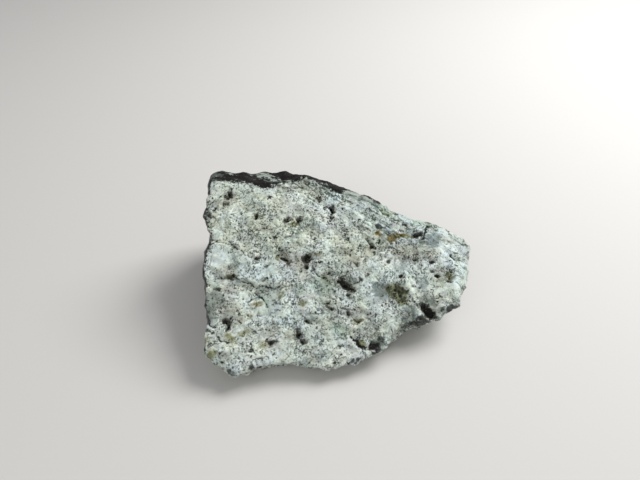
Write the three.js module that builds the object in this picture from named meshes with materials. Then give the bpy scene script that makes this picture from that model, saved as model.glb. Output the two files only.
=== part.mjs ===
// A rough stone: black opal in its pale, weathered host rock, one broken piece.
//
// A wide pale face slopes down towards the front. Behind its upper ridge a dark broken slope
// falls to a steep back wall, and the left side is a steep dark break too. The right end
// narrows to a blunt tip. The stone rests on a flat break underneath.
//
// Millimetres, +X along the stone to its tip, +Y to the back, +Z up. The origin is on the
// resting plane, under the middle of the stone.

import * as THREE from 'three';
import { ConvexHull } from 'three/addons/math/ConvexHull.js';
import { ImprovedNoise } from 'three/addons/math/ImprovedNoise.js';
import { mergeVertices } from 'three/addons/utils/BufferGeometryUtils.js';

// The pale face: how it leans, and where its middle is.
const FACE_TILT = 30; // degrees down towards the front
const FACE_ROLL = 6; // degrees down towards the tip
const FACE_CENTRE = new THREE.Vector3(0, -2, 19);

// The surface starts as a ball of even triangles, drawn onto the block's faces from its heart.
const HEART = new THREE.Vector3(-2, 2, 11);
const BALL_SHAPE = new THREE.Vector3(41, 33, 13); // half sizes of the flattened ball
const BALL_DETAIL = 19;
const SPREADING_ROUNDS = 200;

// Wear of the sharp edges: how far each point goes towards its neighbours, and how often.
const EDGE_WEAR = 0.4;
const EDGE_WEAR_ROUNDS = 2;

const ON_FLOOR = 1e-3; // what is lower than this rests on the floor
const LEAST_CLEARANCE = 0.2; // height that a break keeps above the floor

// Corners of the pale face: along it, up it, and proud of its plane.
const faceCorners = [
  [-41.7, 26.7, 0], // upper left corner, the stone's highest
  [-11.2, 30.2, 0], // the lump on the ridge
  [2.4, 27.4, -0.4],
  [12.6, 24.3, -0.2],
  [28.1, 18.3, 0],
  [36.6, 16.2, 0],
  [42.5, 12.8, 0], // the tip
  [41.4, 4.1, 0],
  [40.8, -2.0, 0],
  [35.9, -9.2, -0.3],
  [27.6, -14.3, -0.6],
  [14.8, -23.0, -0.4],
  [7.0, -28.0, 0],
  [0.8, -29.9, 0],
  [-26.8, -33.8, 0], // lowest corner
  [-38.0, -28.8, 0],
  [-40.4, 2.0, 0],
  [-12, 8, 1.3], // low swells of the face itself
  [16, -1, 1.5],
  [-22, -16, 0.9],
  [31, 7, 0.6],
];

// Corners of the rest: the foot of the slope behind the ridge, the widest part of the sides,
// and the outline that rests on the floor.
const backSlopeEdge = [
  [-40.4, 29.2, 33.4],
  [-17.0, 33.2, 32.6],
  [-5.0, 30.0, 29.0],
  [9.0, 25.5, 24.6],
  [17.5, 20.0, 21.5],
];
const waist = [
  [-41.2, 24, 17],
  [-40.8, 7, 13],
  [-38.6, -14, 8],
  [-36.5, -25.5, 6.5],
  [-39.0, 33.5, 15],
  [-12, 36, 13],
  [9, 29.5, 12],
  [27, 16.5, 14],
  [40.5, 9.5, 13],
  [39.6, 1, 9.5],
  [29, -9, 5.5],
  [8, -22.5, 3.2],
  [-27, -28.5, 4.2],
];
const restingOutline = [
  [-35, -19, 0],
  [-24, -24, 0],
  [4, -19, 0],
  [20, -8, 0],
  [28, 4, 0],
  [22, 14, 0],
  [6, 25, 0],
  [-12, 31, 0],
  [-35, 29, 0],
  [-38, 8, 0],
];

// Shell-shaped breaks: middle on the surface, the way each looks, width and depth.
const shellBreaks = [
  { at: [-25, 27.5, 33.8], facing: [0.1, 0.4, 0.9], width: 19, depth: 1.7 },
  { at: [-8, 31, 31.6], facing: [0.0, 0.5, 0.86], width: 9, depth: 0.5 },
  { at: [-27, 34.5, 20], facing: [-0.1, 1, 0.1], width: 24, depth: 3.0 },
  { at: [-4, 34.5, 17], facing: [0.15, 1, 0.15], width: 22, depth: 2.6 },
  { at: [-14, 33.5, 5], facing: [0, 0.9, -0.4], width: 15, depth: 1.8 },
  { at: [18, 24, 16], facing: [0.5, 0.8, 0.2], width: 18, depth: 2.0 },
  { at: [32, 14, 15], facing: [0.4, 0.9, 0.0], width: 15, depth: 1.6 },
  { at: [-41.8, 17, 23], facing: [-1, 0.05, 0.1], width: 16, depth: 1.4 },
  { at: [-41, 12, 9], facing: [-1, 0.1, -0.2], width: 18, depth: 1.9 },
  { at: [-39.6, -13, 14], facing: [-1, -0.05, 0.1], width: 15, depth: 1.5 },
  { at: [35, -5, 5.5], facing: [0.5, -0.5, -0.7], width: 15, depth: 1.6 },
];

// Notches in the rim of the pale face: along it, up it, the way each opens (degrees
// round from along it), width and depth.
const rimNotches = [
  { along: -40.6, up: 7.2, opens: 178, width: 8, depth: 2.6 },
  { along: -12.6, up: -31.6, opens: 268, width: 25, depth: 3.9 },
  { along: 10.4, up: -26.2, opens: 302, width: 6, depth: 1.6 },
  { along: 20.6, up: -18.8, opens: 306, width: 12, depth: 3.3 },
  { along: 41.9, up: 8.2, opens: 0, width: 7, depth: 1.5 },
  { along: 19.0, up: 21.9, opens: 66, width: 13, depth: 2.4 },
];

// Hollows in the pale face: along it, up it, width and depth below its middle level, which
// stands this far proud of the face's plane.
const FACE_LEVEL = 1;
const hollows = [
  { along: 18.6, up: -5.2, width: 6.2, depth: 1.7 }, // the olive cavity
  { along: 21.2, up: -6.6, width: 4.6, depth: 1.4 },
  { along: 1.4, up: -3.0, width: 4.6, depth: 1.3 }, // the dark gash
  { along: 4.0, up: -6.0, width: 3.8, depth: 1.2 },
  { along: -9.4, up: 4.0, width: 5.2, depth: 1.3 },
  { along: -15.2, up: 3.2, width: 4.6, depth: 0.9 },
  { along: -32.0, up: -17.2, width: 4.2, depth: 1.3 },
  { along: -9.8, up: -19.0, width: 4.0, depth: 1.3 },
  { along: -25.6, up: 16.3, width: 4.0, depth: 1.0 },
  { along: -11.8, up: 16.5, width: 4.2, depth: 1.1 },
  { along: 28.6, up: -9.8, width: 7.0, depth: 1.3 },
  { along: 22.4, up: 12.6, width: 9.0, depth: 1.0 }, // the stained dip
  { along: -24.0, up: -10.0, width: 13.0, depth: 0.8 }, // below the ledge
  { along: 2.0, up: 16.0, width: 12.0, depth: 0.7 },
];

// Rough relief: height and wavelength of its waves, and a seed that tells them apart.
const swells = { height: 0.75, length: 12, seed: 3.1 };
const grain = { height: 0.42, length: 4.6, seed: 11.7 };

// Ledges: a slow wave cut into steps, each rising over the middle part of its tread.
const ledges = { height: 0.55, length: 17, seed: 27.4, perWave: 3, riseFrom: 0.35, riseTo: 0.65 };

// The broken sides are rougher than the pale face, which ends between these two slants (the
// cosine of the angle to its normal), and relief fades in over this height above the floor.
const SIDE_ROUGHNESS = 1.3;
const SIDE_SLANT = 0.8;
const FACE_SLANT = 0.95;
const RELIEF_FADE = 3;

const faceTurn = new THREE.Matrix4().makeRotationFromEuler(
  new THREE.Euler(
    THREE.MathUtils.degToRad(FACE_TILT),
    THREE.MathUtils.degToRad(FACE_ROLL),
    0,
    'YXZ',
  ),
);
const faceNormal = new THREE.Vector3(0, 0, 1).applyMatrix4(faceTurn);
const noise = new ImprovedNoise();

function facePoint([along, up, proud]) {
  return new THREE.Vector3(along, up, proud).applyMatrix4(faceTurn).add(FACE_CENTRE);
}

function eachVertex(geometry, move) {
  const position = geometry.attributes.position;
  const point = new THREE.Vector3();
  for (let i = 0; i < position.count; i += 1) {
    point.fromBufferAttribute(position, i);
    move(point, i);
    position.setXYZ(i, point.x, point.y, point.z);
  }
}

function restsOnFloor(point) {
  return point.z < ON_FLOOR;
}

// For each vertex, the vertices that share an edge with it.
function neighboursOf(geometry) {
  const around = Array.from({ length: geometry.attributes.position.count }, () => new Set());
  const index = geometry.index.array;
  for (let t = 0; t < index.length; t += 3) {
    const [a, b, c] = index.subarray(t, t + 3);
    around[a].add(b).add(c);
    around[b].add(c).add(a);
    around[c].add(a).add(b);
  }
  return around;
}

// Wears the edges down: each vertex goes part of the way to the middle of its neighbours.
function wearEdges(geometry) {
  const around = neighboursOf(geometry);
  const other = new THREE.Vector3();
  for (let round = 0; round < EDGE_WEAR_ROUNDS; round += 1) {
    const before = geometry.attributes.position.clone();
    eachVertex(geometry, (point, i) => {
      if (restsOnFloor(point)) return;
      const middle = new THREE.Vector3();
      around[i].forEach((j) => middle.add(other.fromBufferAttribute(before, j)));
      point.lerp(middle.divideScalar(around[i].size), EDGE_WEAR);
    });
  }
}

// Moves each vertex to the middle of its triangles, the larger ones counting for more.
function spreadOut(geometry) {
  const position = geometry.attributes.position;
  const index = geometry.index.array;
  const sums = Array.from({ length: position.count }, () => new THREE.Vector4(0, 0, 0, 0));
  const triangle = new THREE.Triangle();
  const middle = new THREE.Vector3();
  for (let t = 0; t < index.length; t += 3) {
    triangle.setFromAttributeAndIndices(position, ...index.subarray(t, t + 3));
    const weight = triangle.getArea();
    triangle.getMidpoint(middle).multiplyScalar(weight);
    const share = new THREE.Vector4(middle.x, middle.y, middle.z, weight);
    for (let corner = 0; corner < 3; corner += 1) sums[index[t + corner]].add(share);
  }
  eachVertex(geometry, (point, i) => {
    const { x, y, z, w } = sums[i];
    point.set(x / w, y / w, z / w);
  });
}

// The plain block, before its breaks and relief: an even skin on the hull of its corners.
function brokenBlock() {
  const hull = new ConvexHull().setFromPoints([
    ...faceCorners.map(facePoint),
    ...[...backSlopeEdge, ...waist, ...restingOutline].map((c) => new THREE.Vector3(...c)),
  ]);
  const ball = new THREE.IcosahedronGeometry(1, BALL_DETAIL);
  ball.deleteAttribute('normal');
  ball.deleteAttribute('uv');
  const skin = mergeVertices(ball);
  const outward = new THREE.Ray(HEART, new THREE.Vector3());
  const pullOntoHull = (point) => {
    outward.direction.copy(point).sub(HEART).normalize();
    hull.intersectRay(outward, point);
    if (Math.abs(point.z) < ON_FLOOR) point.z = 0;
  };
  eachVertex(skin, (point) => pullOntoHull(point.multiply(BALL_SHAPE).add(HEART)));
  for (let round = 0; round < SPREADING_ROUNDS; round += 1) {
    spreadOut(skin);
    eachVertex(skin, pullOntoHull);
  }
  wearEdges(skin);
  return skin;
}

// Hollows the surface to a ball's shape wherever that ball reaches into the stone.
function scoop(geometry, at, facing, width, depth) {
  const radius = ((width / 2) ** 2 + depth ** 2) / (2 * depth);
  const ball = at.clone().addScaledVector(facing.clone().normalize(), radius - depth);
  eachVertex(geometry, (point) => {
    const reach = point.distanceTo(ball);
    if (reach < radius && !restsOnFloor(point)) {
      point.sub(ball).multiplyScalar(radius / reach).add(ball);
      point.z = Math.max(point.z, LEAST_CLEARANCE);
    }
  });
}

function wave(point, { length, seed }) {
  return noise.noise(point.x / length + seed, point.y / length, point.z / length);
}

// Height of the relief at a point, out from the surface.
function relief(point) {
  const step = wave(point, ledges) * ledges.perWave;
  const tread = step - Math.floor(step);
  const ledge = THREE.MathUtils.smoothstep(tread, ledges.riseFrom, ledges.riseTo) - 0.5;
  const waves = swells.height * wave(point, swells) + grain.height * wave(point, grain);
  return waves + ledges.height * ledge;
}

function roughen(geometry) {
  geometry.computeVertexNormals();
  const normals = geometry.attributes.normal;
  const outward = new THREE.Vector3();
  eachVertex(geometry, (point, i) => {
    if (restsOnFloor(point)) return;
    outward.fromBufferAttribute(normals, i);
    const slant = outward.dot(faceNormal);
    const onFace = THREE.MathUtils.smoothstep(slant, SIDE_SLANT, FACE_SLANT);
    const roughness = THREE.MathUtils.lerp(SIDE_ROUGHNESS, 1, onFace);
    const offFloor = THREE.MathUtils.smoothstep(point.z, 0, RELIEF_FADE);
    point.addScaledVector(outward, relief(point) * roughness * offFloor);
  });
  geometry.deleteAttribute('normal');
}

function stoneGeometry() {
  const geometry = brokenBlock();
  for (const { at, facing, width, depth } of shellBreaks) {
    scoop(geometry, new THREE.Vector3(...at), new THREE.Vector3(...facing), width, depth);
  }
  for (const { along, up, opens, width, depth } of rimNotches) {
    const turn = THREE.MathUtils.degToRad(opens);
    const facing = new THREE.Vector3(Math.cos(turn), Math.sin(turn), 0).applyMatrix4(faceTurn);
    scoop(geometry, facePoint([along, up, 0]), facing, width, depth);
  }
  roughen(geometry);
  for (const { along, up, width, depth } of hollows) {
    scoop(geometry, facePoint([along, up, FACE_LEVEL]), faceNormal, width, depth + FACE_LEVEL);
  }
  geometry.computeBoundingBox();
  const middle = geometry.boundingBox.getCenter(new THREE.Vector3());
  geometry.translate(-middle.x, -middle.y, 0);
  geometry.computeVertexNormals();
  return geometry;
}

const stone = new THREE.Mesh(
  stoneGeometry(),
  new THREE.MeshStandardMaterial({ color: 0xa9b0a6, roughness: 0.85, metalness: 0 }),
);
stone.name = 'stone';

const opal = new THREE.Group();
opal.add(stone);

export default opal;
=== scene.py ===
"""Rough black opal in its pale weathered host rock, dressed around its solid.

The stone is one broken piece, so it is one mesh: a fine skin drawn over the solid's own shape,
with the face's crumbs, pits, cracks and ledges and the shell-shaped breaks of the opal modelled
in it. The skin carries named values that say where each finish lies, and one material reads them.

Lengths are in millimetres and angles in degrees until they reach Blender, which is in metres.
Places on the pale face are given along it, towards the tip, and up it, towards the back.
"""

import math

import bmesh
import bpy
import numpy as np
from mathutils import Matrix, Vector, noise


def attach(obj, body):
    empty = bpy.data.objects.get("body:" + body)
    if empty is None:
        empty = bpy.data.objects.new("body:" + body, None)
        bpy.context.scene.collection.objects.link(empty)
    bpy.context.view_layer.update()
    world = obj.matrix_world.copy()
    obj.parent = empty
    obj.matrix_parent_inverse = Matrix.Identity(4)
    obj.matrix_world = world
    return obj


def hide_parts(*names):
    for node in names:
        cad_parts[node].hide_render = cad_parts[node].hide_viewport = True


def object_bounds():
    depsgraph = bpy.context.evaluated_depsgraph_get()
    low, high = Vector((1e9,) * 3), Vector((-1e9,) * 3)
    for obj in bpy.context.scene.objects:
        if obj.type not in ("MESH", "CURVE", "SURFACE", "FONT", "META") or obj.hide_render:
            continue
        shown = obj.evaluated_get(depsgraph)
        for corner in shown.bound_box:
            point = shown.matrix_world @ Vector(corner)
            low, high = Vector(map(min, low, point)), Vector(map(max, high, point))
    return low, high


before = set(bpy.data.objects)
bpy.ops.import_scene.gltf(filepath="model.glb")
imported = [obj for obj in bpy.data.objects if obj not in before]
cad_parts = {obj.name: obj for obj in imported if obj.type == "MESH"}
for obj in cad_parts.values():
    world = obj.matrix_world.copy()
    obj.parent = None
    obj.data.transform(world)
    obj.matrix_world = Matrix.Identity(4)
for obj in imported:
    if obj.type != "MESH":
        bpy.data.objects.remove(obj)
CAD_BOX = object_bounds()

bl_info = {
    "name": "Rough Opal Maker",
    "version": (1, 0, 0),
    "blender": (4, 5, 0),
    "location": "3D View > Sidebar > Rough Opal",
    "description": "Dresses a rough black opal stone around its solid, and sets up its stage",
    "category": "Add Mesh",
}

SOLID = "stone"
MM = 0.001

# The pale face: its middle, and how it leans.
FACE_CENTRE = (-0.4, -4.5, 19.0)
FACE_TILT = 30
FACE_ROLL = 6

# Upper edge of the pale face, along and up. Black opal shows behind it.
RIDGE = (
    (-45, 26.4), (-38.5, 26.1), (-32, 25.8), (-28.5, 25.1), (-25, 24.3), (-20.9, 25.2), (-17.9, 26.7),
    (-14, 27.4), (-12.4, 28.3), (-9.2, 28.9), (-6.8, 28), (-3.5, 27.3), (1.4, 24.9), (5.6, 22.2),
    (11.1, 21), (17.5, 20.6), (24, 19), (32, 18), (45, 15),
)

# Holes in the pale face: along, up, length, width, turn and depth.
PITS = (
    (-35, 21.6, 2.9, 1.6, 80, 1), (-35.3, 18.8, 1.5, 1, 0, 0.5), (-38.4, 16.9, 1, 0.8, 0, 0.4),
    (-26.1, 14.8, 2.5, 1.8, -50, 1.2), (-16.6, 14.9, 2, 1.4, 80, 0.8), (-12.5, 15.5, 3, 2.3, 60, 1.4),
    (-15.8, 1.9, 3.2, 1.4, -25, 0.7), (-9.6, 2.8, 3.2, 2.4, 60, 0.9), (-9.7, 0.1, 1.5, 1, 80, 0.8),
    (-24.5, 1.5, 1.7, 0.9, 10, 0.4), (-21.4, -0.4, 1.3, 0.7, 20, 0.4), (-31.7, -4.4, 2.9, 1.7, 0, 0.8),
    (-35.4, -8.6, 1.4, 1.2, 0, 0.5), (-31.6, -17.7, 3.2, 1.5, 5, 1), (-31, -19.4, 2.6, 1.5, 80, 1.2),
    (-10.8, -20.1, 3, 1.3, 88, 1.4), (-9.3, -22.3, 2, 1.2, -20, 0.5), (-7.8, -16.1, 2, 1.1, -25, 0.5),
    (2.9, -4.9, 6.6, 2.4, -32, 1.5), (10.6, 8.2, 1.3, 0.8, -40, 0.5), (15.4, 3.9, 1.3, 1.2, 0, 0.6),
    (5.6, 2, 1.3, 1, 60, 0.5), (9.4, -1.1, 1.6, 1, 70, 0.5), (11.9, -1.8, 1.3, 0.7, 0, 0.4),
    (-1.4, -11.8, 1.6, 1, 0, 0.5), (20.6, 16.1, 1.7, 0.8, 0, 0.5), (24.2, 13.4, 2.8, 1.6, 20, 0.6),
    (16.4, 9.6, 1.6, 1, 40, 0.6), (23.9, 5.1, 1.6, 1.3, 0, 0.6), (29.3, 4.8, 2, 1, 5, 0.8),
    (29.5, 2, 1.4, 0.8, 0, 0.5), (34.3, 0, 1.4, 0.8, 70, 0.5), (19.3, -0.7, 1.4, 1.2, 0, 0.8),
    (19.3, -4.5, 4.2, 1.8, -15, 0.7), (19.9, -6.9, 3, 1.6, -60, 0.7), (28.6, -10.6, 5.4, 3.2, -35, 1),
    (24, -14.6, 3, 1.6, 10, 0.5), (11.7, -22.3, 3, 2.6, 70, 0.6), (1.4, -22.8, 1.1, 0.8, -50, 0.4),
    (3.9, -13.1, 1.9, 0.9, -45, 0.5), (6.7, -15.2, 1.8, 1.1, 0, 0.6), (34.4, -0.6, 1.8, 0.9, 30, 0.7),
    (-18.4, -23.2, 2, 1.2, 20, 0.5), (-16.9, -22.6, 1.3, 0.9, 0, 0.5), (-23.2, -30.2, 1.7, 1.2, 0, 0.3),
    (-15.6, 15.6, 0.9, 0.8, 0, 0.4), (-21.2, -27.6, 1.4, 0.5, 25, 0.4), (-18.7, -11.6, 1, 0.8, 0, 0.3),
    (8, 3.2, 1.6, 1, 30, 0.5), (30.6, 0.6, 1.6, 1.2, -30, 0.5), (-37.5, 6.4, 1.2, 0.8, 30, 0.4),
    (-6.6, 22.6, 1.5, 0.8, -30, 0.4), (-2.5, 19.8, 2.3, 1.4, -70, 1), (-2.5, 16.9, 1.1, 0.7, 80, 0.4),
    (-5, 19.7, 1.1, 0.7, 20, 0.4), (-12.3, 28.7, 1.2, 0.8, 40, 0.5), (-10.2, 29.2, 1, 0.7, 0, 0.4),
    (-11.2, 27, 1.3, 0.8, -30, 0.5), (-14, -9.8, 0.8, 0.6, 60, 0.3), (-13, -11.5, 0.8, 0.6, 0, 0.3),
    (-14.8, -11.4, 0.8, 0.6, 30, 0.3),
)

# Cracks: half width, depth, and the way each runs, along and up.
CRACKS = (
    (0.26, 0.5, ((-5.4, 19.9), (-5, 20.7), (-4, 20.9), (-3, 20.3))),
    (0.16, 0.4, ((-2.2, 18.6), (-2.3, 17.2), (-2.9, 15.6))),
    (0.14, 0.3, ((-39, 5.6), (-33, 5.7), (-30.5, 4.3), (-28.7, 2.9), (-26.5, 2), (-21.9, 1.5))),
    (0.26, 0.5, ((-24.3, -8.8), (-22.6, -9.7), (-21.4, -11), (-20.5, -12.4))),
    (0.2, 0.5, ((-30.1, -4.2), (-27.4, -5.9), (-23.5, -6.9), (-19.9, -6.9), (-17, -6.5))),
    (0.16, 0.3, ((33.6, 9.4), (35, 7.6), (36.4, 6.4))),
    (0.24, 0.5, ((-7.4, 1.6), (-6.8, -0.6), (-5, -3), (-3.4, -3.2))),
    (0.22, 0.4, ((8.4, 10.8), (9.6, 9.4), (10.8, 8.2))),
    (0.2, 0.4, ((10.8, 8.2), (12.4, 7.4), (14.2, 7.2))),
    (0.34, 0.6, ((28.1, 17.4), (27.2, 15.6), (26.4, 13.7), (26.5, 12.3))),
    (0.2, 0.4, ((23.6, 1.2), (24.2, -0.6), (24, -3.4))),
    (0.42, 0.6, ((4.6, -20), (6.6, -21.4), (8.9, -22.9))),
    (0.32, 0.6, ((-37.4, -17.4), (-36.2, -18.9), (-34.6, -19.4))),
    (0.22, 0.4, ((-37, -20.6), (-35, -21.6), (-32.4, -23.2), (-30.2, -23.5))),
    (0.22, 0.4, ((-24.4, -23.8), (-23.4, -25.6), (-22.4, -26.4))),
    (0.18, 0.3, ((36.2, 6.9), (37.4, 5.4))),
    (0.22, 0.4, ((-30.6, -17), (-28.6, -16.6), (-27, -17.6))),
    (0.2, 0.3, ((-20, 7), (-18.4, 5.6), (-16.8, 3.6))),
)

# Ledges: height, and the way each runs. The side on the left of the way stands higher.
LEDGES = (
    (0.75, ((-35.6, -3.4), (-32.4, -5.6), (-29.2, -6.2), (-25.8, -6.9), (-22, -7.2), (-17.4, -6.6))),
    (0.2, ((-20, -12.6), (-16.4, -15.4), (-12.4, -16.8))),
    (0.3, ((-12.6, -2.4), (-8.8, -8.4), (-3, -10))),
    (0.7, ((23.6, -6.8), (22.6, -2), (21.2, 1.6))),
    (0.5, ((13.6, 10.4), (18.4, 11.6), (24.4, 11.4))),
    (0.5, ((36.6, -5.6), (37.8, 1), (38.4, 7.4))),
    (0.5, ((7.4, 19.6), (12.6, 16.6), (18.6, 14.8))),
)

# Colours that lie in patches on the face, with a few marks of painted shade and painted light among
# them: along, up, length, width and, where it has one, turn.
STAINS = {
    "olive": (
        (-32.2, -4.4, 2.2, 1.5), (-29.6, -22.6, 3.6, 1.6, -30), (-34.9, -27.2, 3.4, 2.2, 55),
        (-18.8, 2, 1.8, 1.2, -30), (18.2, -5, 6.6, 3.8, -15), (19.2, -7.2, 5.2, 3.6, -50),
        (8.2, -21.2, 2.4, 1.6, -40), (20.6, 12.7, 5.4, 1.5), (-26, -20.6, 3, 1.2, 20),
        (-20.6, -23.8, 3.4, 1.2, 20), (-16.4, -9.2, 1.8, 1, 60), (-37.6, -24.4, 2.6, 0.9, 80),
        (-24.8, -15.6, 1.2, 1.4, 80), (-10, -10.8, 3, 1.6), (14.4, 20.4, 5, 1.4, -26),
        (-14, 13.6, 2.6, 2), (6.4, -15, 2.4, 1.4), (34.5, 0.8, 3, 2.8), (-6.4, 4.4, 3.4, 1.2, -15),
    ),
    "rust": (
        (16.2, 11.5, 3.4, 2.6, 30), (11.9, 12.9, 2.4, 2), (-23.4, -12.2, 2.8, 1.3, 15),
        (19.8, 12.9, 4, 1.2, 5),
    ),
    # A few ash marks are painted shade: along and under the long left ledge at (-28.4, -5.6) and (-35.6,
    # -11.2), beside the small peak at (20.2, 3.6), and on the darker left edge at (-36.6, -15.4).
    "ash_and_painted_shade": (
        (13.8, -5.8, 6, 6, 25), (26, 11, 4, 2.6, 20), (20.2, 3.6, 2.6, 4.2, -10),
        (-28.4, -5.6, 5, 1.4, -12), (-36.6, -15.4, 3, 6), (22.4, -10.6, 4.4, 3, 20),
        (14.9, 13.2, 3.4, 2), (4.6, -3.4, 4.6, 2.2, -35), (26.6, -2.4, 3, 4), (29.6, 12, 4.4, 6, -20),
        (12.8, 14.4, 4.4, 2.2, -15), (28.4, -6.8, 4.2, 3.6), (-8.2, 14.2, 2.9, 1.5, -60),
        (9.2, 10, 2.8, 1.4, -55), (12.4, -21.8, 5, 3.6, 60), (33.4, -9.4, 2.8, 1.8),
        (-35.6, -11.2, 5.4, 4.2), (22, -13.8, 6.4, 3, 25), (-39.6, 14.4, 1.8, 2.2),
        (-7.2, -15.4, 2.6, 1.8, -30), (20.6, -6, 2.2, 1.4),
    ),
    "sage": (
        (-10.8, -6.8, 3.6, 3.4, 20), (-4.4, -5.2, 8, 5.2), (-21, -11, 5, 1.4, -55),
        (25.5, 18.4, 13, 2.4, -7), (9, 24.4, 16, 3.4, -28), (-35.6, -7.4, 2.6, 2.4), (1.4, -18, 6, 4.4),
    ),
    # Two umber marks are painted shade: under the long left ledge at (-31.8, -8.4), and at the lower
    # left of the cavity at (17.4, -7.4).
    "umber_and_painted_shade": (
        (22.4, 7.4, 10.4, 7.6), (26.6, 7.6, 6, 5), (-32.4, -3, 6, 5, -20), (-31.4, -13.6, 6.4, 5, 10),
        (5.4, -12.4, 10, 3, -5), (17.4, -7.4, 3.4, 3, -30), (10.6, -15.8, 4.4, 2.2, -15),
        (-11, 27.2, 5, 3), (-7.2, 24.2, 4.4, 3.2, -50), (-34.6, 20.6, 4.4, 3.8, 60), (32.6, 1.4, 5, 4.8),
        (31.4, -5.8, 3.4, 3), (13.4, -5.6, 4.6, 4.6), (-30, -17, 6, 4), (-32, -27.4, 4, 2.6),
        (-13.2, 18.4, 4, 3), (-21.6, 11.4, 4.4, 3), (-28, 18.2, 6, 2.4), (-9.2, -2.8, 3.6, 3),
        (-13, -20.6, 3.4, 3.4), (14, 11.8, 4, 2.4, -10), (-1.8, 13.6, 3.4, 2.6), (1.6, 5.6, 4, 3, -30),
        (-5.6, -27.2, 6, 1.6), (-31.8, -8.4, 4.4, 3), (-12, 0.4, 5, 4), (-3.2, -3.2, 4.6, 4),
        (-18.6, -19.8, 4.4, 3.4), (9, -18.2, 8, 3), (-11.2, -14, 2.4, 2), (4.4, 2.8, 4, 4),
        (-10.6, 2.4, 6, 3.6), (-16.2, 2.8, 5.4, 3.6, -20), (1, 12.2, 5, 4.4, -50), (9.8, 7, 4.4, 3, -50),
        (-18, -22.8, 4.6, 2.6), (20, -12, 6, 3, -15),
    ),
    # Most smoke marks are dark glassy rock; those along the base, at (-29.6, -32) and (6.8, -26.6), are
    # painted shadow where the stone meets the floor.
    "smoke_and_painted_shadow": (
        (28, -10.2, 6.4, 3.8, -35), (11.8, -22.6, 3.8, 3.4, 60), (13.6, -20.2, 2.6, 1.4, 60),
        (34, -9.6, 2.6, 1.4), (12.7, 15.1, 2.8, 1.8, -10), (25.4, 13.6, 2.8, 1.1, 30),
        (-29.6, -32, 5, 1.6, -12), (-23.2, -30.2, 1.8, 1.3), (-39.9, 14.8, 1.6, 2),
        (26.2, -13, 3, 1.8, 20), (-18.2, -23.1, 2.6, 1.4, 15), (22.8, -15.4, 5.6, 2.4, 8),
        (34.4, -8.6, 4.6, 2.6, 25), (6.8, -26.6, 3, 1.4, 20), (26.4, -14.4, 7, 2.6, 14),
        (31, -12.4, 4, 2.4, 20),
    ),
    # Some chalk marks are painted light, such as the one on the lit right lip at (37.2, 2).
    "chalk_and_painted_light": (
        (21.8, -1.2, 6.6, 3.2, 75), (-38.6, -1, 4.6, 9), (-38, 8, 4, 5), (-13, 10.6, 5, 3),
        (37.2, 2, 6, 14, 5), (23.2, -4.8, 2.8, 4.4, -20), (32, -2.6, 5, 3.4), (36.6, -3.6, 4, 4),
        (-25, -10.4, 9, 4, -15), (-37.2, -26.8, 1.4, 2.8), (9.6, -4.4, 5, 5), (2, -8.4, 4, 2.4, -30),
        (-4.4, -13.8, 4, 3), (16.6, 0.6, 6.4, 3.6), (-6.8, 6.8, 9, 4.4), (-24, -0.8, 9, 2.8, -4),
        (34.4, 8.6, 7, 5, -20), (-15.4, 22.4, 9, 4), (-34.6, 15, 4, 9), (-1.6, 23.6, 4.6, 3.4, -30),
        (3.6, 17.2, 7, 3.6, -30), (-14.6, -14, 8, 5.4, -20), (14, -10.2, 5, 3.4), (-34, 12.6, 4, 3),
        (6.4, -7.8, 8, 5), (8.6, 19.4, 6, 3, -30), (-13.6, -26.6, 8, 3.4), (-19.4, -4.4, 7, 2.8, -10),
        (-14.6, -9.6, 7, 4.2, -50), (28.4, -2.4, 4.4, 3), (19.6, 1.6, 5, 2.6), (-15, -16.6, 5, 3.4),
        (13.8, -13.6, 5.4, 3.4), (9.4, 16.8, 6, 3, -30), (17.4, 17.8, 5.4, 2.4, -15), (-2, -22.6, 5, 3),
        (-30.8, -24.6, 6, 2.6, 20), (-22.4, -25, 7, 2.6), (1.6, -24.6, 7, 3), (15, -15, 5, 3),
    ),
}

# Wide soft tints of the face, and the bright marks of painted light, given in the same way.
TINTS = {
    "warm": (
        (-25, 13.5, 34, 22), (-31, -23.5, 16, 12, 20), (-22, -21, 16, 8), (4, 8, 20, 12),
        (32, -2, 10, 9),
    ),
    "cool": (
        (14, 18, 44, 13, -18), (-26, -1, 24, 7, -8), (37, 2, 9, 24), (-18, -14, 22, 8, -20),
        (10, -3, 12, 10), (-31, -31, 20, 5, -20),
    ),
    "flow": (
        (15, 17.5, 46, 14, -18), (-10, 24, 22, 8, -20), (36, 9, 14, 9, -35),
    ),
    # Painted light, for the most part: the bright marks lighten the lit right tip, the face's front edge
    # and spots that the relief leaves in shade. They also thin the dark specks, as the tip has fewer.
    "pale_and_painted_light": (
        (36, 3, 13, 24, -8), (-26.6, 21.8, 8, 5), (-18, 21.6, 8, 6), (-12, -25, 36, 8, 3),
        (-14, -14.6, 11, 9), (7, -7.6, 8, 5), (-37, 0, 7, 22, 3), (-12.6, -8.6, 8, 5),
        (14.6, -13.6, 8, 5), (-28.8, -21.4, 12, 8), (-21, -2.4, 13, 7, -4), (-20, -9.5, 16, 6, -10),
        (12, 1, 14, 8), (10, -3.6, 9, 6, -20), (-6.8, 6.8, 7, 4), (-34.6, 16, 5, 14), (34, -2, 8, 6),
        (21.8, -1.2, 6, 3.4, 75),
    ),
}

# Width of the marks' soft rims, in millimetres.
STAIN_SOFTNESS = {
    "olive": 1.3, "rust": 1.2, "ash_and_painted_shade": 2.2, "sage": 2.4, "umber_and_painted_shade": 2.4, "smoke_and_painted_shadow": 1.4, "chalk_and_painted_light": 2.0,
}
TINT_SOFTNESS = 5.0
FILM_SOFTNESS = 1.4
CRACK_SOFTNESS = 1.2
PIT_SOFTNESS = 0.9
MARK_WANDER = 0.8  # how far, in millimetres, noise carries the rims of the marks

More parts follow.
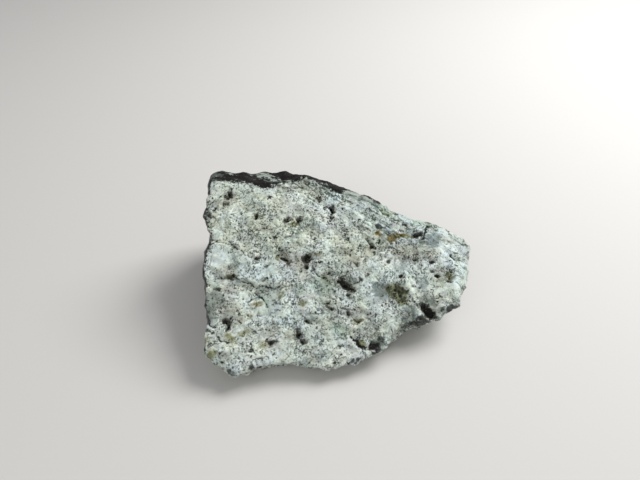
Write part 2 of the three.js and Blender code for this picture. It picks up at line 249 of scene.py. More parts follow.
# What tints and stains do to the colour under them: its tone, and how much of it shows at most.
TINT_TONES = {"warm": ((1.005, 1.0, 0.935), 0.75), "cool": ((0.965, 1.0, 1.035), 0.9)}
STAIN_TONES = {
    "sage": ((0.66, 0.755, 0.69), 0.8),
    "umber_and_painted_shade": ((0.62, 0.595, 0.565), 0.8),
    "ash_and_painted_shade": ((0.40, 0.435, 0.43), 0.88),
    "chalk_and_painted_light": ((1.16, 1.18, 1.19), 0.8),
    "olive": ((0.42, 0.41, 0.22), 0.9),
    "rust": ((0.42, 0.29, 0.10), 0.95),
}
BACK_SHADE_TONE = (0.67, 0.68, 0.655)  # painted shade on the host rock that faces back, off the pale face, where the key light falls

# Faint clouds of colour all over: their width and the two tones between which they change.
CLOUD_TONES = (
    (5.0, (1.005, 1.0, 0.95), (0.972, 1.0, 1.04)),
    (8.0, (0.985, 1.005, 0.985), (1.005, 0.995, 1.0)),
)

# Dark grains by kind: spacing, share of the common cover and what is added to it, largest size.
GRAINS = {
    "grey": (1.3, 1.0, 0.14, 0.54),
    "small": (0.8, 1.0, 0.06, 0.48),
    "fine": (0.6, 1.0, 0.10, 0.40),
    "large": (2.0, 0.5, 0.0, 0.42),
}
# What the marks add to that common cover, at most.
GRAIN_COVER = {"umber_and_painted_shade": 0.35, "olive": 0.35, "pale_and_painted_light": -0.32, "ash_and_painted_shade": -0.12, "flow": -0.18}
WHITE_GRAINS = (0.7, 0.36, 0.42)  # spacing, cover and largest size
OPAL_SPARKS = (0.7, 0.22, 0.40)
HOLLOW_SHADE = (0.007, 0.008, 0.006)  # painted shade: colour of the deepest parts of the pits and cracks
PIT_RIM = (0.105, 0.100, 0.075)  # colour of the broken brown rims around the pits
HAIR_SPACING = 4.2  # between hairline cracks, in millimetres

FLOW_TURN = -30  # the way the streaks of the face's upper right run
STROKES = ((-38, 0.42, 6.0), (24, 0.38, 7.5), (82, 0.36, 5.0))  # way, width, and their patches' width

# Widths and heights of the relief's forms, in millimetres. Settings hold the other heights.
SWELL_WIDTH = 7.0
CHIP_WIDTHS = (3.4, 1.5)
CRUMB_WIDTHS = (2.1, 1.15)
STREAK_WIDTH = 1.5
STREAK_HEIGHT = 0.34
SHELL_WIDTHS = (10.0, 4.0)
RIPPLE_HEIGHT = 0.07
GLASS_CHIP_WIDTH = 2.2
HACKLE_WIDTH = 1.4
HACKLE_HEIGHT = 0.12
GRIT_HEIGHT = 0.45
CRACK_SIDES = 0.5
LEDGE_STEP = 0.45
LEDGE_FADE = 3.5

ROCK_ROUGHNESS = 0.9
GLASS_ROUGHNESS = 0.26

RIDGE_SOFTNESS = 3.0  # width, in millimetres, over which rock gives way to opal at the ridge
LEFT_LEAN = 0.62  # how squarely a surface faces left where opal starts to show on that side
LEFT_RISE = 1.6  # how fast it takes over as a surface faces left more squarely
OPAL_END_RIGHT = (2.0, 16.0)  # where, along the face, the opal thins out towards the tip
OPAL_END_LOW = (9.0, 2.0)  # the heights between which the opal thins out towards the base
FACET_SMOOTHING = 8  # rounds that take the solid's facets out of the skin
BROAD_SMOOTHING = 30  # rounds that leave only the way each side of the stone faces
RESTING = 0.35  # the solid's points lower than this, in millimetres, lie on the floor
CHIP_SHUFFLE = 37.3  # takes neighbouring chips far apart, so that they lean in unlike ways

# The opal behind the ridge: where film whitens it and where it lies bare, given in the same way.
OPAL_MARKS = {
    "film": (
        (-22.8, 31.4, 9.6, 2.2, -4), (-17.6, 28.4, 8, 1.2, -16), (-35.4, 30.4, 2.6, 0.8),
        (-32.4, 27.4, 2.6, 0.6, -5), (-29.6, 26, 7.4, 1.3, -8), (-19.8, 26.6, 5.6, 0.9, 4),
        (-9.4, 29, 4.6, 0.6, -4), (-37, 30.6, 1.6, 0.8), (6, 24, 13, 4.6, -26),
    ),
    "bare": (
        (-33.6, 27.2, 9.4, 2, -4), (-18.2, 31.2, 7, 1.4, -6), (-28.6, 28.2, 6.4, 1.6, -8),
        (-31, 30.6, 5.6, 2.6, 6), (-25.2, 27.4, 5.6, 4.2, -10), (-19.4, 33.4, 12.4, 2.4, -6),
        (-15.2, 30.2, 7, 2, -10), (-8.6, 30.6, 9, 1.6, -6), (-1.6, 28.6, 6.6, 2.4, -32),
        (-39.4, 26.4, 2.4, 1.4),
    ),
}

# Knobs and bites of the broken rim: middle, reach, and how far each carries the surface.
KNOBS = (
    ((-40.3, 4.3, 20.9), 3.2, (0.9, 0, 0)), ((-40.4, 9.8, 29.6), 3.6, (-0.7, 0, 0)),
    ((-40.9, 0.8, 21.5), 2, (-0.3, 0, 0)), ((-40, 22.6, 33.8), 3.4, (-0.9, 0.7, 0.7)),
    ((-38, 24.2, 34.6), 2.6, (-0.2, 0.7, 0.5)), ((-30, 25.2, 33.6), 2.6, (0, 0.2, 0.8)),
    ((-21.4, 29.6, 30.6), 6, (0, 0.2, 0.2)), ((-11.4, 20.8, 33.8), 3.2, (0, 0.1, 0.6)),
    ((-4.8, -29.5, 3.4), 4, (0, 0.5, 0.4)), ((-16.4, -28.4, 6.4), 4.6, (0, -1.3, -0.9)),
    ((-21, -28, 6.6), 4, (0, -0.8, -0.6)), ((6.3, -27, 3.8), 4.4, (-0.3, 0.6, 0.4)),
    ((20.1, -16.4, 3.9), 5, (-0.4, 1, 0.7)), ((31.7, -12, 8.8), 3.6, (0.3, -0.5, -0.3)),
    ((29.4, -13.8, 8.6), 4, (0.2, -0.9, -0.6)), ((26.4, 12.4, 24.6), 4.4, (0, -0.5, -0.4)),
    ((20.8, 11.4, 26), 5, (0, 0.5, 0.8)), ((15.6, 13.6, 27.6), 3.6, (0, -0.5, -0.8)),
    ((-0.4, 19, 32.4), 5, (0, -0.4, -0.6)), ((9.5, 16, 30), 4, (0, 0.3, 0.4)),
    ((37, 6.2, 21.6), 5, (0.3, 0.4, 0.6)), ((34.4, -10.4, 11.4), 5, (0.8, -0.7, -0.5)),
    ((38.4, -5, 14.4), 5, (0.7, -0.2, 0)), ((-24.8, 26.7, 31.9), 5, (0, 0.7, 1.1)),
    ((-11.4, 23, 34.2), 4, (0, 0.3, 0.3)), ((-39.8, 12.7, 32.4), 2.8, (-0.8, 0, 0)),
    ((-39.2, 4.8, 27.6), 2.6, (-0.8, 0, 0)),
)


COLOUR = {"subtype": "COLOR", "size": 3, "min": 0, "max": 1}


class StoneSettings(bpy.types.PropertyGroup):
    """Sizes and colours of the stone that a user would change."""

    voxel: bpy.props.FloatProperty(
        name="Skin fineness", description="Size of the skin's facets, in millimetres",
        default=0.42, min=0.3, max=2.0)
    crumb_height: bpy.props.FloatProperty(
        name="Crumb height", description="How far the pale crust's crumbs stand out, in millimetres",
        default=0.30, min=0.0, max=1.0)
    chip_height: bpy.props.FloatProperty(
        name="Chip height", description="How far the rock's small chips stand out, in millimetres",
        default=0.40, min=0.0, max=1.0)
    swell_height: bpy.props.FloatProperty(
        name="Swell height", description="Height of the pale rock's wider lumps, in millimetres",
        default=0.75, min=0.0, max=2.0)
    pit_depth: bpy.props.FloatProperty(
        name="Pit depth", description="How many times deeper the pits are than listed",
        default=1.7, min=0.0, max=3.0)
    shell_depth: bpy.props.FloatProperty(
        name="Shell depth", description="Depth of the opal's shell-shaped breaks, in millimetres",
        default=1.6, min=0.0, max=3.0)
    chalk_white: bpy.props.FloatVectorProperty(
        name="Chalky crumbs", description="Colour of the crust's lightest crumbs",
        **COLOUR, default=(0.64, 0.685, 0.65))
    pale: bpy.props.FloatVectorProperty(
        name="Pale crust", description="Colour of the weathered crust",
        **COLOUR, default=(0.53, 0.58, 0.525))
    stone_grey: bpy.props.FloatVectorProperty(
        name="Host rock", description="Colour of the greyer rock between the crumbs",
        **COLOUR, default=(0.29, 0.325, 0.29))
    shade: bpy.props.FloatVectorProperty(
        name="Dark host rock", description="Colour of the darkest rock and the grey specks",
        **COLOUR, default=(0.095, 0.105, 0.092))
    speck: bpy.props.FloatVectorProperty(
        name="Specks", description="Colour of the dark specks and hairline cracks",
        **COLOUR, default=(0.020, 0.021, 0.019))
    opal: bpy.props.FloatVectorProperty(
        name="Black opal", description="Colour of the glassy black opal",
        **COLOUR, default=(0.011, 0.010, 0.009))
    opal_film: bpy.props.FloatVectorProperty(
        name="Opal film", description="Colour of the grey-green weathering film on the opal",
        **COLOUR, default=(0.096, 0.110, 0.101))
    film_light: bpy.props.FloatVectorProperty(
        name="Light film", description="Colour of the film where it lies thickest",
        **COLOUR, default=(0.42, 0.48, 0.43))


class StageSettings(bpy.types.PropertyGroup):
    """Colours and strengths of the stage that a user would change."""

    floor: bpy.props.FloatVectorProperty(
        name="Floor", description="Colour of the plain floor",
        **COLOUR, default=(0.52, 0.51, 0.49))
    key_power: bpy.props.FloatProperty(
        name="Key light", description="Power of the soft light at the upper right",
        default=3.7, min=0.0, unit="POWER")
    fill_power: bpy.props.FloatProperty(
        name="Fill light", description="Power of the soft light at the front left",
        default=1.7, min=0.0, unit="POWER")
    sky: bpy.props.FloatProperty(
        name="Sky", description="Strength of the even light from all sides",
        default=0.42, min=0.0, max=5.0)


def smooth_step(low, high, value):
    """0 below low and 1 above high, with a smooth rise between."""
    part = np.clip((value - low) / (high - low), 0, 1)
    return part * part * (3 - 2 * part)


def noise_at(points, wave, seed, octaves=1, stretch=(1, 1, 1)):
    """Smooth noise, about -1 to 1, with lumps about one wave across, longer along a stretch."""
    start = Vector((seed * 7.3, seed * 3.1, seed * 5.7))
    places = points / (np.array(stretch) * wave)
    return np.array([
        noise.fractal(Vector(place) + start, 1.0, 2.0, octaves, noise_basis="PERLIN_ORIGINAL")
        for place in places.tolist()
    ])


def cells_at(points, size, seed, stretch=(1, 1, 1)):
    """Distance, in cells, from each point to the nearest of a scatter of middles."""
    start = Vector((seed * 2.9, seed * 6.1, seed * 4.3))
    places = points / (np.array(stretch) * size)
    return np.array([noise.voronoi(Vector(place) + start)[0][0] for place in places.tolist()])


def chips_at(points, size, seed):
    """Height, about -1 to 1, of flat chips about one size across, each leaning its own way."""
    start = Vector((seed * 3.7, seed * 5.3, seed * 2.1))
    heights = []
    for place in (points / size).tolist():
        spot = Vector(place) + start
        middle = noise.voronoi(spot)[1][0]
        lean = noise.cell_vector(middle * CHIP_SHUFFLE) * 2 - Vector((1, 1, 1))
        heights.append((spot - middle).dot(lean) + 0.4 * lean.z)
    return np.array(heights)


def turned(along, up, angle):
    """The same places on axes turned by an angle."""
    lean = math.radians(angle)
    return (along * math.cos(lean) + up * math.sin(lean),
            up * math.cos(lean) - along * math.sin(lean))


def ellipse_radius(along, up, mark):
    """Distance from a mark's middle, 1 on its rim, and how many millimetres that 1 is."""
    middle_along, middle_up, length, width, turn = (*mark, 0)[:5]
    run, rise = turned(along - middle_along, up - middle_up, turn)
    return np.hypot(run / (length / 2), rise / (width / 2)), min(length, width) / 2


def way_distance(spots, way):
    """Distance from each spot to a way of straight runs, and the number of the nearest run."""
    away = []
    for start, end in zip(way, way[1:]):
        run = np.subtract(end, start)
        offset = spots - start
        part = np.clip(offset @ run / (run @ run), 0, 1)
        away.append(np.linalg.norm(offset - part[:, None] * run, axis=1))
    return np.min(away, axis=0), np.argmin(away, axis=0)


def read_rows(items, name, width, kind=np.int32):
    """One named value of each of a mesh's items, in rows of the width given."""
    values = np.empty(len(items) * width, kind)
    items.foreach_get(name, values)
    return values.reshape(-1, width)


class Skin:
    """The stone's surface as arrays of points in millimetres, edges and triangles."""

    def __init__(self, mesh):
        self.mesh = mesh
        self.count = len(mesh.vertices)
        self.points = read_rows(mesh.vertices, "co", 3, np.float64) / MM
        self.edges = read_rows(mesh.edges, "vertices", 2)
        self.edge_count = np.bincount(self.edges.ravel(), minlength=self.count)[:, None]
        mesh.calc_loop_triangles()
        self.triangles = read_rows(mesh.loop_triangles, "vertices", 3)

    def spread(self, values, rounds, share=0.5):
        """The values after each has moved a share of the way to its neighbours' mean, some rounds."""
        first, second = self.edges.T
        for _ in range(rounds):
            total = np.stack([
                np.bincount(first, column[second], self.count)
                + np.bincount(second, column[first], self.count)
                for column in values.T
            ], 1)
            values = values + share * (total / self.edge_count - values)
        return values

    def normals(self, points):
        """The way each point faces."""
        a, b, c = (points[self.triangles[:, corner]] for corner in range(3))
        facing = np.cross(b - a, c - a)
        total = np.stack([
            np.bincount(self.triangles.ravel(), np.repeat(column, 3), self.count)
            for column in facing.T
        ], 1)
        return total / np.linalg.norm(total, axis=1, keepdims=True)

    def keep_value(self, name, values):
        """Stores a value for each point, which the material reads by name."""
        layer = self.mesh.attributes.new(name, "FLOAT", "POINT")
        layer.data.foreach_set("value", values.astype(np.float32))

    def write(self):
        """Puts the points back into the mesh, kept inside the solid's own box."""
        low, high = (np.array(corner) / MM for corner in CAD_BOX)
        inside = np.clip(self.points, low, high)
        self.mesh.vertices.foreach_set("co", (inside * MM).astype(np.float32).ravel())
        self.mesh.polygons.foreach_set("use_smooth", np.ones(len(self.mesh.polygons), bool))
        self.mesh.update()


def new_object(name, data):
    """A new object in the scene."""
    made = bpy.data.objects.new(name, data)
    bpy.context.scene.collection.objects.link(made)
    return made


def fine_skin(settings):
    """A new object whose mesh is the solid's shape in fine even facets."""
    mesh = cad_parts[SOLID].data.copy()
    mesh.materials.clear()
    work = bmesh.new()
    work.from_mesh(mesh)
    bmesh.ops.remove_doubles(work, verts=work.verts, dist=0.01 * MM)
    work.to_mesh(mesh)
    work.free()
    stone = new_object("opal_stone", mesh)
    remesh = stone.modifiers.new("Fine facets", "REMESH")
    remesh.mode = "VOXEL"
    remesh.voxel_size = settings.voxel * MM
    graph = bpy.context.evaluated_depsgraph_get()
    fine = bpy.data.meshes.new_from_object(stone.evaluated_get(graph))
    stone.modifiers.clear()
    stone.data = fine
    fine.name = "opal_stone"
    bpy.data.meshes.remove(mesh)
    return stone


def face_turn(angle=0):
    """How the pale face lies in the part, with its axes turned on it by an angle."""
    return (Matrix.Rotation(math.radians(FACE_ROLL), 3, "Y")
            @ Matrix.Rotation(math.radians(FACE_TILT), 3, "X")
            @ Matrix.Rotation(math.radians(angle), 3, "Z"))


def face_places(points, facing):
    """Each point along and up the pale face, and how far it belongs to that face, 0 to 1."""
    turn = np.array(face_turn())
    local = (points - FACE_CENTRE) @ turn
    on_face = smooth_step(0.25, 0.6, facing @ turn[:, 2])
    return local[:, 0], local[:, 1], on_face


def opal_amount(points, facing, along, up):
    """Where black opal shows, 0 to 1 with its rim at 0.5: behind the ridge and on the left side."""
    ridge_along, ridge_up = np.array(RIDGE).T
    behind = up - np.interp(along, ridge_along, ridge_up)
    back = 0.5 + behind / RIDGE_SOFTNESS
    left = 0.5 + (-facing[:, 0] - LEFT_LEAN) * LEFT_RISE
    right_end = smooth_step(*OPAL_END_RIGHT, along)
    low_down = smooth_step(*OPAL_END_LOW, points[:, 2])
    broken = noise_at(points, 9.0, 21, 3, (1.6, 1.0, 0.8))
    amount = np.maximum(back, left) - 0.75 * right_end - 0.5 * low_down + 0.30 * broken
    return np.clip(amount, 0, 1)


def dress_skin(skin, settings):
    """Models the relief and stores where each finish lies."""
    skin.points = skin.spread(skin.points, FACET_SMOOTHING)
    start = skin.points
    broad = skin.normals(skin.spread(start, BROAD_SMOOTHING))
    along, up, on_face = face_places(start, broad)
    opal = opal_amount(start, broad, along, up)
    glassy = smooth_step(0.42, 0.62, opal)
    tints = {
        name: stain_value(along, up, marks, TINT_SOFTNESS) * on_face for name, marks in TINTS.items()
    }

    # The marks' own places, which noise shifts so that their rims are ragged.
    mark_along = along + MARK_WANDER * noise_at(start, 1.7, 14, 2)
    mark_up = up + MARK_WANDER * noise_at(start, 1.7, 15, 2)
    pit, dip = pit_values(start, mark_along, mark_up)
    crack, cleft = crack_values(np.stack([mark_along, mark_up], 1))

    crumb = crumb_amount(start)
    height = pale_height(start, along, up, crumb, tints["flow"], settings) * (1 - glassy)
    height += opal_height(start, settings) * glassy
    height += ledge_height(np.stack([along, up], 1)) * on_face * (1 - glassy)
    height -= (settings.pit_depth * dip + cleft) * on_face
    skin.points = start + broad * height[:, None] + knob_shifts(start)
    skin.points[start[:, 2] < RESTING, 2] = 0.0

    off_face = smooth_step(0.85, 0.45, broad @ np.array(face_turn())[:, 2])
    values = {
        "opal": opal,
        "satin": smooth_step(0.45, 0.75, broad[:, 2]),
        "left": smooth_step(0.35, 0.70, -broad[:, 0]),
        # Painted shade: where the rock faces back, off the pale face, the colour is darkened against the
        # key light.
        "behind": smooth_step(0.0, 0.5, broad[:, 1]) * off_face,
        "crumb": crumb,
        "pit": pit * on_face,
        "crack": crack * on_face,
        **tints,
    }
    for name, marks in OPAL_MARKS.items():
        values[name] = stain_value(mark_along, mark_up, marks, FILM_SOFTNESS)
    for name, marks in STAINS.items():
        values[name] = stain_value(mark_along, mark_up, marks, STAIN_SOFTNESS[name]) * on_face
    for name, value in values.items():
        skin.keep_value(name, value)


def crumb_amount(points):
    """The pale crust's crumbs, 0 in the creases between them."""
    wide, narrow = CRUMB_WIDTHS
    coarse = np.abs(noise_at(points, wide, 2))
    fine = np.abs(noise_at(points, narrow, 3))
    return np.clip(1.5 * coarse + 1.1 * fine, 0, 1)


def pale_height(points, along, up, crumb, flow, settings):
    """Relief of the pale rock: wide lumps, flat chips, crumbs, and streaks where it flowed."""
    run, rise = turned(along, up, FLOW_TURN)
    drawn_out = np.stack([run, rise, np.zeros(len(points))], 1)
    streaks = noise_at(drawn_out, STREAK_WIDTH, 4, 2, (5, 1, 1))
    wide, narrow = CHIP_WIDTHS
    chips = chips_at(points, wide, 11) + 0.5 * chips_at(points, narrow, 12)
    return (settings.swell_height * noise_at(points, SWELL_WIDTH, 1, 3)
            + settings.chip_height * chips + settings.crumb_height * (crumb - 0.5)
            + STREAK_HEIGHT * streaks * flow)


def knob_shifts(points):
    """How far the knobs and bites of the broken rim carry each point."""
    shifts = np.zeros((len(points), 3))
    for middle, reach, carry in KNOBS:
        away = np.linalg.norm(points - middle, axis=1)
        shifts += smooth_step(reach, 0.0, away)[:, None] * carry
    return shifts


def opal_height(points, settings):
    """Relief of the opal: shell-shaped breaks with sharp rims between them, ripples and chips."""
    wide, narrow = SHELL_WIDTHS
    shell = cells_at(points, wide, 5, (1.5, 1.0, 0.8))
    small_shell = cells_at(points, narrow, 6, (1.3, 1.0, 0.8))
    shells = shell ** 2 - 0.35 + 0.35 * (small_shell ** 2 - 0.3)
    ripples = RIPPLE_HEIGHT * np.sin(shell * 30)
    chips = 0.25 * settings.chip_height * chips_at(points, GLASS_CHIP_WIDTH, 13)
    hackles = HACKLE_HEIGHT * noise_at(points, HACKLE_WIDTH, 16, 3, (4, 1, 1))
    return settings.shell_depth * shells + ripples + chips + hackles


def stain_value(along, up, marks, softness):
    """0 to 1 over a group of patches, 0.5 on their rims, soft over a few millimetres."""
    value = np.zeros(len(along))
    for mark in marks:
        radius, size = ellipse_radius(along, up, mark)
        value = np.maximum(value, np.clip(0.5 + (1 - radius) * size / softness, 0, 1))
    return value


def pit_values(points, along, up):
    """The pits' shade, 0.5 on their rims, and their depth in millimetres."""
    ragged = 0.45 * noise_at(points, 1.3, 8, 3)
    shade = np.zeros(len(points))
    depth = np.zeros(len(points))
    for *mark, deep in PITS:
        radius, size = ellipse_radius(along, up, mark)
        close = radius < 3
        edge = radius[close] + ragged[close]
        shade[close] = np.maximum(shade[close], np.clip(0.5 + (1 - edge) * size / PIT_SOFTNESS, 0, 1))
        depth[close] = np.maximum(depth[close], deep * smooth_step(1.3, 0.4, edge))
    return shade, depth


def crack_values(spots):
    """The cracks' shade, 0.5 on their rims, and their depth in millimetres."""
    shade = np.zeros(len(spots))
    depth = np.zeros(len(spots))
    for half_width, deep, way in CRACKS:
        away, _ = way_distance(spots, way)
        shade = np.maximum(shade, np.clip(0.5 + (half_width - away) / CRACK_SOFTNESS, 0, 1))
        depth = np.maximum(depth, deep * smooth_step(half_width + CRACK_SIDES, 0.0, away))
    return shade, depth


def ledge_height(spots):
    """The height that the ledges add: a step at each way that fades to both sides."""
    height = np.zeros(len(spots))
    for step, way in LEDGES:
        away, nearest = way_distance(spots, way)
        corners = np.array(way)
        run = corners[nearest + 1] - corners[nearest]
        offset = spots - corners[nearest]
        left = np.sign(run[:, 0] * offset[:, 1] - run[:, 1] * offset[:, 0])
        fade = np.exp(-((away / LEDGE_FADE) ** 2))
        height += 0.5 * step * left * np.tanh(away / LEDGE_STEP) * fade
    return height


# A Mix node's colour sockets share their names with its others, so they go by number.
COLOUR_A, COLOUR_B, COLOUR_OUT = 6, 7, 2


class Wiring:
    """Adds nodes to a tree and links them, so that a material reads from top to bottom."""

    def __init__(self, tree):
        self.tree = tree
        self.column = 0
        self.place = None  # the point where noise and groups are looked up

    def node(self, kind, **settings):
        """A new node to the right of the last one, with the settings given."""
        made = self.tree.nodes.new(kind)
        made.location = (self.column * 180, 0)
        self.column += 1
        for name, value in settings.items():
            setattr(made, name, value)
        return made

    def feed(self, socket, value):
        """Gives an input a number, a colour or another node's output."""
        if isinstance(value, bpy.types.NodeSocket):
            self.tree.links.new(value, socket)
        elif isinstance(value, (int, float)):
            socket.default_value = value
        elif len(value) < len(socket.default_value):
            socket.default_value = (*value, 1)
        else:
            socket.default_value = value

    def feed_named(self, node, values):
        """Gives a node's inputs their values by name."""
        for name, value in values.items():
            self.feed(node.inputs[name], value)

    def maths(self, operation, *parts, kind="ShaderNodeMath"):
        """One sum, product or the like of some values."""
        made = self.node(kind, operation=operation)
        for socket, part in zip(made.inputs, parts):
            self.feed(socket, part)
        return made.outputs[0]

    def vector(self, operation, *parts):
        """One sum, product or the like of some places or colours."""
        return self.maths(operation, *parts, kind="ShaderNodeVectorMath")

    def times(self, first, second):
        """The product of two values."""
        return self.maths("MULTIPLY", first, second)

    def total(self, *parts):
        """The sum of some values, each so many times over."""
        amount = 0.0
        for value, times in parts:
            amount = self.maths("MULTIPLY_ADD", value, times, amount)
        return amount

    def noise(self, wave, detail=2.0, roughness=0.5, distortion=0.0, place=None, output="Fac"):
        """Noise, 0 to 1, with lumps about one wave across."""
        made = self.node("ShaderNodeTexNoise")
        self.feed_named(made, {
            "Vector": self.place if place is None else place, "Scale": 1 / wave,
            "Detail": detail, "Roughness": roughness, "Distortion": distortion,
        })
        return made.outputs[output]

    def swing(self, *noise_settings, **more):
        """Noise that goes both ways, about -0.5 to 0.5."""
        return self.maths("SUBTRACT", self.noise(*noise_settings, **more), 0.5)

    def rise(self, value, low, high, least=0.0, most=1.0):
        """A smooth rise from least to most as the value goes from low to high."""
        made = self.node("ShaderNodeMapRange", interpolation_type="SMOOTHSTEP")
        self.feed_named(made, {
            "Value": value, "From Min": low, "From Max": high, "To Min": least, "To Max": most,
        })
        return made.outputs["Result"]

    def mix(self, share, first, second):
        """A colour between two colours."""
        made = self.node("ShaderNodeMix", data_type="RGBA")
        self.feed(made.inputs["Factor"], share)
        self.feed(made.inputs[COLOUR_A], first)
        self.feed(made.inputs[COLOUR_B], second)
        return made.outputs[COLOUR_OUT]

    def tinted(self, colour, tone):
        """The colour multiplied by a tone."""
        return self.vector("MULTIPLY", colour, tone)

    def ramp(self, value, stops):
        """A colour from a row of stops, each with its place from 0 to 1."""
        made = self.node("ShaderNodeValToRGB")
        self.feed(made.inputs[0], value)
        row = made.color_ramp.elements
        while len(row) < len(stops):
            row.new(0.5)
        for element, (position, colour) in zip(row, stops):
            element.position = position
            element.color = (*colour, 1)
        return made.outputs["Color"]

    def value(self, name):
        """One of the values that the skin carries."""
        return self.node("ShaderNodeAttribute", attribute_name=name).outputs["Fac"]

    def group(self, group, **inputs):
        """A shader node group at this wiring's place, with its other inputs given by name."""
        made = self.node("ShaderNodeGroup")
        made.node_tree = group
        self.feed_named(made, {"Place": self.place, **inputs})
        return made.outputs[0]

    def cells(self, place, feature="F1"):
        """The outputs of a scatter of cells one unit across: distances, and a colour by chance."""
        made = self.node("ShaderNodeTexVoronoi", feature=feature)
        self.feed_named(made, {"Vector": place, "Scale": 1.0})
        return made.outputs


def jagged(w, place, wave, reach):
    """A place carried off by noise, so that what is drawn there has jagged outlines."""
    jags = w.noise(wave, 3.0, 0.7, place=place, output="Color")
    return w.vector("MULTIPLY_ADD", jags, (reach,) * 3, place)


def strokes(w, wave, angle, stretch=4.0):
    """Noise drawn out along one way on the pale face, about -0.5 to 0.5."""
    drawn_out = w.node("ShaderNodeMapping", vector_type="TEXTURE")
    w.feed(drawn_out.inputs["Vector"], w.place)
    drawn_out.inputs["Rotation"].default_value = face_turn(angle).to_euler()
    drawn_out.inputs["Scale"].default_value = (stretch, 1, 1)
    return w.swing(wave, 3.0, 0.65, place=drawn_out.outputs[0])


def new_mask_group(name, **values):
    """An empty shader node group that makes a mask from a place and values, and its wiring."""
    group = bpy.data.node_groups.new(name, "ShaderNodeTree")
    group.interface.new_socket("Place", in_out="INPUT", socket_type="NodeSocketVector")
    for label, default in values.items():
        made = group.interface.new_socket(label, in_out="INPUT", socket_type="NodeSocketFloat")
        made.default_value = default
    group.interface.new_socket("Mask", in_out="OUTPUT", socket_type="NodeSocketFloat")
    w = Wiring(group)
    return group, w, w.node("NodeGroupInput").outputs


def ragged_patch_group():
    """A ragged mask from an amount that is 0.5 on a patch's rim."""
    group, w, given = new_mask_group(
        "Ragged patch", Amount=0.0, Grain=0.8, Raggedness=0.6, Softness=0.12)
    w.place = w.vector("DIVIDE", given["Place"], given["Grain"])
    shift = w.times(w.swing(1.0, 3.0, 0.7), given["Raggedness"])
    amount = w.total((given["Amount"], 1.0), (shift, 2.0))
    low = w.maths("SUBTRACT", 0.5, given["Softness"])
    high = w.maths("ADD", 0.5, given["Softness"])
    w.feed(w.node("NodeGroupOutput").inputs[0], w.rise(amount, low, high))
    return group


def specks_group():
    """Scattered crisp ragged specks of uneven size, in more of their cells where Cover is higher."""
    group, w, given = new_mask_group("Specks", Spacing=1.0, Cover=0.3, Largest=0.42)
    place = w.vector("DIVIDE", given["Place"], given["Spacing"])
    cells = w.cells(jagged(w, place, 0.55, 1.5))
    chance = w.node("ShaderNodeSeparateColor")
    w.feed(chance.inputs[0], cells["Color"])
    share = w.maths("MULTIPLY_ADD", w.maths("POWER", chance.outputs["Green"], 1.6), 0.75, 0.25)
    outside = w.maths("SUBTRACT", cells["Distance"], w.times(share, given["Largest"]))
    here = w.rise(w.maths("SUBTRACT", given["Cover"], chance.outputs["Red"]), -0.02, 0.02)
    w.feed(w.node("NodeGroupOutput").inputs[0], w.times(w.rise(outside, 0.07, -0.07), here))
    return group


class StoneWiring(Wiring):
    """The wiring of the stone's material, with its place in millimetres and its two groups."""

    def __init__(self, tree):
        super().__init__(tree)
        self.patch_group = ragged_patch_group()
        self.speck_group = specks_group()
        metres = self.node("ShaderNodeTexCoord").outputs["Object"]
        self.place = self.vector("MULTIPLY", metres, (1 / MM,) * 3)

    def patch(self, amount, grain, raggedness, softness):
        """A ragged mask from an amount that is 0.5 on its rim."""
        return self.group(self.patch_group, Amount=amount, Grain=grain, Raggedness=raggedness,
                          Softness=softness)

    def specks(self, spacing, cover, largest):
        """Scattered specks: the size of their cells, the share of cells with one, and their size."""
        return self.group(self.speck_group, Spacing=spacing, Cover=cover, Largest=largest)


def crust_colour(w, settings):
    """The pale crust over greyer rock: quiet chalky areas, crumbly busy ones, and short strokes."""
    busy = w.rise(w.noise(5.5, 3.0, 0.6), 0.41, 0.60, 0.35, 1.5)
    busy = w.times(busy, w.rise(w.value("ash_and_painted_shade"), 0.3, 0.8, 1.0, 0.75))
    crumbs = w.swing(2.2, 6.0, 0.88, 0.25)
    grain = w.swing(0.55, 3.0, 0.85)
    drawn = [
        (w.times(strokes(w, wave, angle), w.rise(w.noise(patch), 0.47, 0.58)), 2.1)
        for angle, wave, patch in STROKES
    ]
    texture = w.times(w.total((crumbs, 1.6), (grain, 3.3), *drawn), busy)
    flow = w.times(strokes(w, 0.75, FLOW_TURN, 7.0), w.value("flow"))
    clouds = w.swing(7.0, 4.0, 0.65)
    white = w.specks(*WHITE_GRAINS)
    # The bright marks add painted light to the crust.
    amount = w.total((texture, 1.0), (flow, 2.9), (clouds, 1.75), (w.value("pale_and_painted_light"), 0.20),
                     # Painted light and shade: the crumbs' tops are lighter than the creases between
                     # them.
                     (w.value("crumb"), 0.25), (white, 0.44))
    return w.ramp(w.rise(amount, -0.45, 0.64), (
        (0.0, settings.shade), (0.26, settings.stone_grey), (0.56, settings.pale),
        (1.0, settings.chalk_white)))


def stained(w, colour):
    """The colour under the wide tints and the patches of stain, with painted shade on the rock that
    faces back behind the ridge.
    """
    for wave, first, second in CLOUD_TONES:
        share = w.rise(w.noise(wave, 2.0, 0.6), 0.38, 0.62)
        colour = w.mix(share, w.tinted(colour, first), w.tinted(colour, second))
    for name, (tone, most) in TINT_TONES.items():
        share = w.rise(w.value(name), 0.2, 1.0, 0.0, most)
        colour = w.mix(share, colour, w.tinted(colour, tone))
    for name, (tone, most) in STAIN_TONES.items():
        mask = w.patch(w.value(name), 1.1, 0.9, 0.3)
        colour = w.mix(w.times(mask, most), colour, w.tinted(colour, tone))
    return w.mix(w.value("behind"), colour, w.tinted(colour, BACK_SHADE_TONE))


